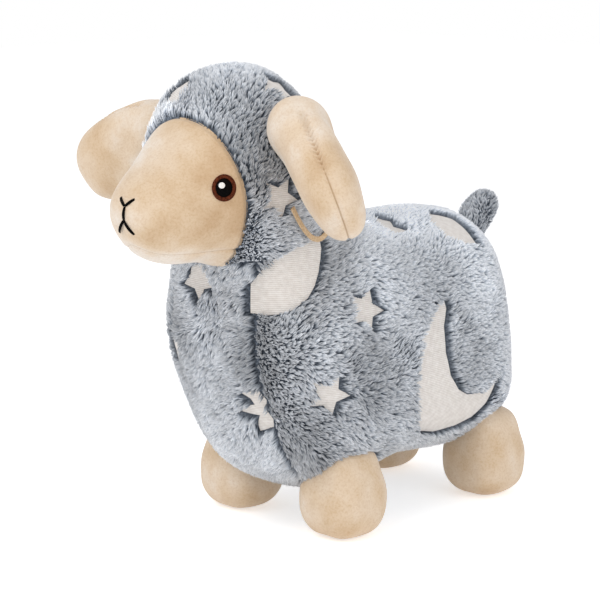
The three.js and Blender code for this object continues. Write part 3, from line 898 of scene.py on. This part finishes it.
CHEST_STAR = np.array([(-5.1, 6.5), (-6.9, 2.6), (-12.7, -3.5), (-4.2, -4.6), (1, -11.3), (2.6, -4.1),
                       (10.6, -2.2), (7.6, 2.8), (7.7, 7.1), (2.4, 8.6)])
BACK_MOON = np.array([(-24.1, 12.9), (-11.3, 7.4), (-6.1, 7.8), (0.9, 2.7), (8.5, 5.3), (11.3, -2),
                      (10.2, -8.2), (2.3, -6.8), (-7.8, -1.5)])
for number, (part, spot, outline) in enumerate([
        (HEAD, place(98.7, 38.2, 172.3), star(10.8, -28)),
        (BODY, place(103.8, -10.4, 128.2), CHEST_STAR),
        (BODY, place(56.6, 53.5, 115.7), star(12, -26)),
        (BODY, place(78.1, 51.1, 76.6), star(11.8, -24)),
        (BODY, place(98, 21.1, 68.2), SEAM_STAR),
        (BODY, place(100.5, -32, 91), star(11.5, 10)),
        (BODY, place(-30.5, 31.9, 141.4), RUMP_MOON),
        (BODY, place(1.1, 17.2, 146.8), BACK_MOON),
        (HEAD, place(84.3, 23.3, 221.6), star(12, 12)),
        (HEAD, place(110, -17, 217.5), star(12, 20)),
        # The places from here on are guessed. The photograph doesn't show them.
        (HEAD, place(96, -38, 176), star(11, 28)),
        (HEAD, place(50, -14, 200), star(11, -15)),
        (BODY, place(48, -53, 112), star(12, 20)),
        (BODY, place(66, -52, 60), star(12, -10)),
        (BODY, place(-6, -51, 88), crescent(radius=25, bite=22, shift=12, turn=70)),
        (BODY, place(-81, -12, 82), star(12, 5)),
        (BODY, place(-50, -50, 50), crescent(radius=15, bite=13, shift=8, turn=-30))]):
    shear(f"shorn_patch_{number:02d}", *part, spot, outline)
shear("shorn_moon_side", *BODY, place(-4.6, 51.1, 73), SIDE_MOON)
shear("shorn_moon_neck", *BODY, place(87, 36.7, 133.1), NECK_MOON)
print("patches", len(PATCHES))

# %% [markdown]
# ## Planting the fur
#
# Hair curves would be quick to grow, but they are lost when the model is exported, so each lock is a small
# mesh: three tapering blades that start together, rise through the pile and lean over with the nap. A real
# fibre is far too fine to show, so a blade is drawn about 0.7 mm wide and stands for a pinch of them. First
# come the places for the locks.


# %% Places for locks
def scattered(piece, density, rng):
    """Evenly spread places on a piece, density of them to a square millimetre."""
    mesh = piece.data
    mesh.calc_loop_triangles()
    corners = np.zeros(len(mesh.loop_triangles) * 3, np.int32)
    mesh.loop_triangles.foreach_get("vertices", corners)
    a, b, c = places_of(piece)[corners.reshape(-1, 3)].transpose(1, 0, 2)
    areas = np.cumsum(np.linalg.norm(np.cross(b - a, c - a), axis=1) / 2)
    count = int(areas[-1] * density)
    picked = np.searchsorted(areas, (np.arange(count) + rng.random(count)) / count * areas[-1])
    picked = np.minimum(picked, len(areas) - 1)
    s, t = np.sqrt(rng.random(count))[:, None], rng.random(count)[:, None]
    return a[picked] * (1 - s) + b[picked] * s * (1 - t) + c[picked] * s * t


NEAR_PATCH = 20


def clear_of_patches(points, body, overhang=None):
    """Which points lie outside every patch of a body, or no further inside than their own overhang."""
    keep = np.ones(len(points), bool)
    for owner, spot, level, upright, out, outline in PATCHES:
        if owner == body:
            off = points - spot
            flat = np.stack([off @ level, off @ upright], 1)
            inside = (np.abs(off @ out) < NEAR_PATCH) & inside_outline(outline, flat)
            if overhang is not None and inside.any():
                gap = np.linalg.norm(flat[inside][:, None] - finer(outline)[None], axis=2).min(1)
                inside[inside] = gap > overhang[inside]
            keep &= ~inside
    return keep


def nearest(centres, points):
    """For each point the number of its nearest centre."""
    tree = KDTree(len(centres))
    for number, centre in enumerate(centres):
        tree.insert(centre, number)
    tree.balance()
    return np.array([tree.find(point)[1] for point in points])


# %% [markdown]
# The pile isn't combed. A slow swirl turns its nap, the blades of a lock fan out, and neighbouring locks are
# pulled towards the tip of a shared leader, which makes the clumps. At a shorn patch a tip may hang over the
# edge by a millimetre or two. A blade that reaches further in is left out.


# %% Blades
ROOT_DEPTH = 0.2


def swung(directions, normals, angle):
    """Directions in the surface, turned about its normals."""
    return directions * np.cos(angle) + np.cross(normals, directions) * np.sin(angle)


def grown(roots, normals, lean, rise, reach, peak, pull, rng):
    """Fans the blades out from their locks, and gives each one's root, bend, tip, lean and side."""
    total = len(roots)
    lean = swung(lean, normals, rng.normal(0, 0.2, total)[:, None])
    side = np.cross(normals, lean)
    roots = roots + side * rng.normal(0, 0.3, (total, 1)) + lean * rng.normal(0, 0.3, (total, 1))
    rise = rise * rng.normal(1, 0.12, (total, 1))
    run = reach * rng.normal(1, 0.12, (total, 1))
    tip = roots + normals * rise + lean * run
    tip += (peak - tip) * pull * rng.uniform(0.7, 1.1, (total, 1))
    bend = roots + normals * rise * 0.62 + (tip - roots - normals * rise) * 0.4
    return roots, bend, tip, lean, side


def ribbons(roots, bend, tip, normals, lean, side, wide, rng):
    """The blades' corners, two at the root, two at the bend and the tip, and the way that they face."""
    roll = rng.normal(0, 0.3, (len(roots), 1))
    edge = side * np.cos(roll) + normals * np.sin(roll)
    half = edge * (wide * rng.uniform(0.7, 1.15, (len(roots), 1)) / 2)
    roots = roots - normals * ROOT_DEPTH
    points = np.stack([roots - half * 0.7, roots + half * 0.7, bend - half, bend + half, tip], 1)
    left, right = normals - side * 0.35, normals + side * 0.35
    facing = np.stack([left, right, left, right, normals + lean * 0.3], 1)
    return points.reshape(-1, 3), unit(facing.reshape(-1, 3))


# %% [markdown]
# One function plants a whole panel. It is handed the places, the nap and the tones, and it works on all locks
# at once, because a loop over tens of thousands of them would be slow. Each blade is a narrow strip of the UV
# map, from its root at 0 to its tip at 1, so one material serves all the fur.

# %% Locks
BLADES, CAUGHT, CLIPPED_SIZE, OVERHANG = 3, 1.1, 0.45, 2.2
BLADE_STRIP = np.array([[-0.0015, 0], [0.0015, 0], [-0.0015, 0.5], [0.0015, 0.5], [0, 1]])


def plant(name, body, roots, normals, nap, rng, tone, pull, size=1.0, frost=0.0, length=4.3, height=3.4,
          wide=0.75, clump=1.7):
    """Locks of fur as one mesh. Tone is 0 for slate and 1 for silver, and frost lifts the roots' colour."""
    nap = unit(nap - (nap * normals).sum(1, keepdims=True) * normals)
    # Just behind a patch the clippers have caught the pile too, so it is short and shows its dark roots.
    clipped = ~clear_of_patches(roots - nap * CAUGHT, body)
    size, frost = np.where(clipped, CLIPPED_SIZE, 1.0) * size, np.broadcast_to(frost, len(roots))
    height, length = (size * height)[:, None], (size * length)[:, None]
    reach = np.sqrt(length ** 2 - height ** 2)
    count = len(roots)
    swirl = 0.5 * ripple(roots, 34, 11) + 0.4 * ripple(roots, 9, 12) + rng.normal(0, 0.2, count)
    lean = swung(nap, normals, swirl[:, None])
    leaders = rng.choice(count, max(int(count / (DENSITY * clump ** 2)), 1), replace=False)
    leader = leaders[nearest(roots[leaders], roots)]
    peak = roots + normals * height + lean * reach
    peak = np.where(clipped[:, None], peak, peak[leader])
    tone = tone + rng.normal(0, 0.07, count)[leader]
    own = np.repeat(np.arange(count), BLADES)
    grown_blades = grown(roots[own], normals[own], lean[own], height[own], reach[own], peak[own],
                         pull[own][:, None], rng)
    overhang = rng.uniform(0.0, 1.0, len(own)) ** 2 * OVERHANG
    bend, tip = grown_blades[1:3]
    keep = clear_of_patches(tip, body, overhang) & clear_of_patches(bend, body, 0.5 * overhang)
    own = own[keep]
    roots, bend, tip, lean, side = (row[keep] for row in grown_blades)
    points, facing = ribbons(roots, bend, tip, normals[own], lean, side, wide, rng)
    first = np.arange(len(own))[:, None] * len(BLADE_STRIP)
    faces = [first + [1, 0, 2, 3], first + [3, 2, 4]]
    shade = np.clip(tone[own] + rng.normal(0, 0.09, len(own)), 0.02, 0.98)[:, None]
    bright, pale = np.where(clipped[own], 0.3, 1.0)[:, None], frost[own][:, None]
    uv = np.stack([shade + BLADE_STRIP[:, 0], pale + (bright - pale) * BLADE_STRIP[:, 1]], 2).reshape(-1, 2)
    piece = write_mesh(name, points, faces, FROSTED_FUR, uv=("OFBake", uv), normals=facing)
    return join_to(piece, body)


# %% [markdown]
# Places where something else is sewn on, such as a foot, an ear or the tail, get no locks. The nap runs to
# the rear on the sides and down on the chest, and along a seam it leans away from it. The coat is palest on
# top, which is painted light from above, and darkest just behind the chest strip on the sheep's left. Along
# the seams it is a little darker, which is painted shade in their grooves.

# %% Plant the body
rng = np.random.default_rng(2024)
DENSITY, TAIL_DENSITY = 0.95, 0.8
OFF_CUT = 0.2


def clear_of_forms(points, gap=0.3):
    """Which points are clear of the feet and ears, and at most 3 mm deep in the tail."""
    keep = np.ones(len(points), bool)
    for spot in FEET.values():
        keep &= foot_form(spot)(points) > gap
    for ear in EARS.values():
        keep &= EAR_FORM(ear["back"](points)) > gap
    return keep & (TAIL_FORM(tail_back(points)) > -3)


roots = scattered(body_backing, DENSITY, rng)
roots = roots[clear_of_patches(roots, "body") & clear_of_forms(roots)]
roots = roots[(NECK_POINT - roots) @ NECK_NORMAL > OFF_CUT]
normals = outward(trunk_form, roots)
x, y, z = roots.T
chest = past(-76 - y, 4) * (np.abs(x) < STRIP)
nap = place(-1, 0, 0.15) * (1 - chest)[:, None] + place(0, -0.75, -0.8) * chest[:, None]
away = np.sign(np.abs(x) - STRIP) * np.sign(x)
nap += (body_seams(roots) * away * 0.3)[:, None] * np.array([1.0, 0, 0])
upper, rear, low = np.clip(normals[:, 2], 0, 1), past(y - 20, 12), np.clip((75 - z) / 30, 0, 1)
from_strip = chest * beside(np.abs(x) - STRIP, 9.0)
behind_strip = np.exp(-(np.maximum(x - STRIP, 0) / 20) ** 2) * (x > 0) * (1 - chest) * past(-40 - y, 10)
# Painted light: the terms for a surface that faces up make the top paler. Painted shade: the seam term
# darkens the seams.
tone = 0.42 + 0.1 * ripple(roots, 40, 21) + 0.05 * ripple(roots, 14, 23) - 0.07 * body_seams(roots)
tone += 0.3 * upper + 0.2 * upper ** 3 + 0.1 * rear + (0.06 + 0.16 * chest) * low
tone += 0.04 * chest - 0.16 * from_strip - 0.3 * behind_strip
pull = 0.6 - 0.15 * chest - 0.3 * behind_strip
for part, chosen, length in (("chest", chest > 0.5, 5.0), ("left", (chest <= 0.5) & (x > 0), 4.3),
                             ("right", (chest <= 0.5) & (x <= 0), 4.3)):
    fur = plant(f"body_fur_{part}", "body", roots[chosen], normals[chosen], nap[chosen], rng, tone[chosen],
                pull[chosen], frost=0.4 * behind_strip[chosen], length=length)
    print(fur.name, len(fur.data.polygons))

# %% [markdown]
# On the hood the nap runs to the rear and up, and nearly straight up beside the face. The hood is dark at the
# sides, partly as painted shade under the ears, and pale low down. Its top is paler still, which is painted
# light from above. Its edge right of the face has longer locks that are painted pale to the roots, as painted
# light on an edge that the lamps light only faintly.

# %% Plant the hood
roots = scattered(hood_backing, DENSITY, rng)
roots = roots[clear_of_patches(roots, "head") & clear_of_forms(roots)]
roots = roots[((roots - NECK_POINT) @ NECK_NORMAL > OFF_CUT) & ((FACE_POINT - roots) @ FACE_NORMAL > OFF_CUT)]
normals = outward(head_form, roots)
from_face = (FACE_POINT - roots) @ FACE_NORMAL
nap = place(-0.8, 0, 0.45) + place(0.5, 0, 0.5) * beside(from_face, 8.0)[:, None]
upper, lower = np.clip(normals[:, 2], 0, 1), np.clip((195 - roots[:, 2]) / 25, 0, 1)
pull = 0.6 - 0.1 * upper - 0.3 * lower
lit_hood_edge = beside(from_face, 16.0) * past(-8 - roots[:, 0], 4) * beside(roots[:, 2] - 205, 25.0)
# Painted light: the top is paler where the surface faces up, and so is the edge right of the face.
tone = 0.05 + 0.07 * ripple(roots, 35, 22) + 0.3 * upper + 0.5 * upper ** 4 + 0.38 * lower + 0.38 * lit_hood_edge
for part, chosen in (("left", roots[:, 0] > 0), ("right", roots[:, 0] <= 0)):
    fur = plant(f"hood_fur_{part}", "head", roots[chosen], normals[chosen], nap[chosen], rng, tone[chosen],
                pull[chosen], 1 + 0.3 * lit_hood_edge[chosen], (0.7 * lit_hood_edge + 0.25 * lower)[chosen],
                length=4.2, height=3.2)
    print(fur.name, len(fur.data.polygons))

# %% [markdown]
# The tail's pile is shorter and thinner, and its nap runs from the root to the tip.

# %% Plant the tail
TAIL_TONE, TAIL_PULL = 0.31, 0.25
roots = scattered(tail_backing, TAIL_DENSITY, rng)
own = tail_back(roots)
normals = unit(tail_turn(own + outward(TAIL_FORM, own)) - roots)
nap = np.broadcast_to(TAIL_WAY, roots.shape)
fur = plant("tail_fur", "tail", roots, normals, nap, rng, np.full(len(roots), TAIL_TONE),
            np.full(len(roots), TAIL_PULL), length=3.6, height=2.2, wide=0.7, clump=1.6)
print(fur.name, len(fur.data.polygons))

# %% [markdown]
# ## Tape loop
#
# A short loop of cotton tape is caught in the seam under the left ear. It is a flat strip, so it is swept
# along its curve as a thin rounded section.

# %% Tape
TAPE_WIDE, TAPE_THICK, FLAT_TO = 2.6, 0.8, place(0, 1, 0.1)
start, bend, end = place(95, 43.3, 168), place(79, 46.9, 135), place(63, 41.3, 168)
share = np.linspace(0, 1, 41)[:, None]
path = start * (1 - share) ** 2 + 2 * bend * share * (1 - share) + end * share ** 2
way = unit(np.gradient(path, axis=0))
flat_side = unit(FLAT_TO - way * (way @ FLAT_TO)[:, None])
broad_side = np.cross(way, flat_side)
angle = np.linspace(0, 2 * math.pi, 16, endpoint=False)
section = np.stack([np.sign(np.cos(angle)) * np.abs(np.cos(angle)) ** 0.4 * TAPE_WIDE / 2,
                    np.sign(np.sin(angle)) * np.abs(np.sin(angle)) ** 0.7 * TAPE_THICK / 2], 1)
rings = path[:, None] + section[:, :1] * broad_side[:, None] + section[:, 1:] * flat_side[:, None]
tape = write_mesh("tape_loop_strip", rings.reshape(-1, 3), [ring_faces(len(path), len(angle))], COTTON_TAPE)
join_to(tape, "head", ["tape_loop"])
print("tape", len(tape.data.polygons))

# %% [markdown]
# ## Studio
#
# A catalogue picture is taken on white, with a large soft lamp high at the left, another lower at the right,
# and light all round. The camera stands a metre away from the point at which it looks.

# %% Camera and lamps
TARGET = to_frame([0, -47.4, 111.9])


def towards(azimuth, elevation):
    """The direction that points this many degrees round the toy, from its front to its left, and up."""
    a, e = math.radians(azimuth), math.radians(elevation)
    return np.array([math.sin(a) * math.cos(e), -math.cos(a) * math.cos(e), math.sin(e)])


back = towards(azimuth=45.4, elevation=11)
camera = bpy.data.objects.new("camera", bpy.data.cameras.new("camera"))
camera.data.lens, camera.data.sensor_width = 120, 36
camera.location = TARGET + back
camera.rotation_euler = Vector(back).to_track_quat("Z", "Y").to_euler()
bpy.context.scene.collection.objects.link(camera)
bpy.context.scene.camera = camera


def soft_lamp(name, azimuth, elevation, distance, size, watts):
    """A square lamp that faces the toy from a direction given in degrees."""
    lamp = bpy.data.objects.new(name, bpy.data.lights.new(name, "AREA"))
    way = Vector(towards(azimuth, elevation))
    lamp.location = Vector(TARGET) + way * distance
    lamp.rotation_euler = way.to_track_quat("Z", "Y").to_euler()
    lamp.data.size, lamp.data.energy = size, watts
    bpy.context.scene.collection.objects.link(lamp)


soft_lamp("key_lamp", azimuth=0, elevation=50, distance=1.2, size=0.9, watts=6.1)
soft_lamp("fill_lamp", azimuth=95, elevation=25, distance=1.4, size=1.0, watts=4.0)
print("camera", [round(value, 3) for value in camera.location])

# %% [markdown]
# The world lights the toy from all round with a soft cool white, while the camera sees plain white. The floor
# is matt white with a faint glow. It glows more where the camera looks, so it turns white and only the shadow
# shows.

# %% World and floor
WHITE = (1, 1, 1, 1)


def white_for_the_camera(tree, lit, white):
    """Mixes in plain white where the camera, a mirror or glass looks."""
    seen = add(tree, "ShaderNodeLightPath")
    either = add(tree, "ShaderNodeMath", {"operation": "MAXIMUM"},
                 {0: seen.outputs["Is Camera Ray"], 1: seen.outputs["Is Glossy Ray"]})
    any_way = add(tree, "ShaderNodeMath", {"operation": "MAXIMUM"},
                  {0: either.outputs[0], 1: seen.outputs["Is Transmission Ray"]})
    mix = add(tree, "ShaderNodeMixShader", links={"Fac": any_way.outputs[0], 1: lit, 2: white})
    return mix.outputs["Shader"]


world = bpy.data.worlds.new("studio")
bpy.context.scene.world = world
world.use_nodes = True
tree = world.node_tree
soft_light = add(tree, "ShaderNodeBackground", {"Color": linear("#f4f6fa"), "Strength": 0.66})
white = add(tree, "ShaderNodeBackground", {"Color": WHITE, "Strength": 1.0})
tree.links.new(white_for_the_camera(tree, soft_light.outputs[0], white.outputs[0]),
               tree.nodes["World Output"].inputs["Surface"])

floor_material = bpy.data.materials.new("studio_floor_white")
floor_material.use_nodes = True
tree = floor_material.node_tree
tree.nodes.remove(tree.nodes["Principled BSDF"])
matt = add(tree, "ShaderNodeBsdfDiffuse", {"Color": linear("#fbfbfb")})


def glowing(strength):
    """The matt white with an even glow."""
    glow = add(tree, "ShaderNodeEmission", {"Color": WHITE, "Strength": strength})
    return add(tree, "ShaderNodeAddShader", links={0: matt.outputs[0], 1: glow.outputs[0]}).outputs[0]


tree.links.new(white_for_the_camera(tree, glowing(0.2), glowing(0.5)),
               tree.nodes["Material Output"].inputs["Surface"])
FLOOR_HALF, FLOOR_LEVEL = 3000, -0.3
corners = [(x * FLOOR_HALF, y * FLOOR_HALF, FLOOR_LEVEL) for x, y in ((-1, -1), (1, -1), (1, 1), (-1, 1))]
floor = write_mesh("floor", np.array(corners, float), [np.array([[0, 1, 2, 3]])], floor_material)
bpy.context.scene.view_settings.view_transform = "Standard"
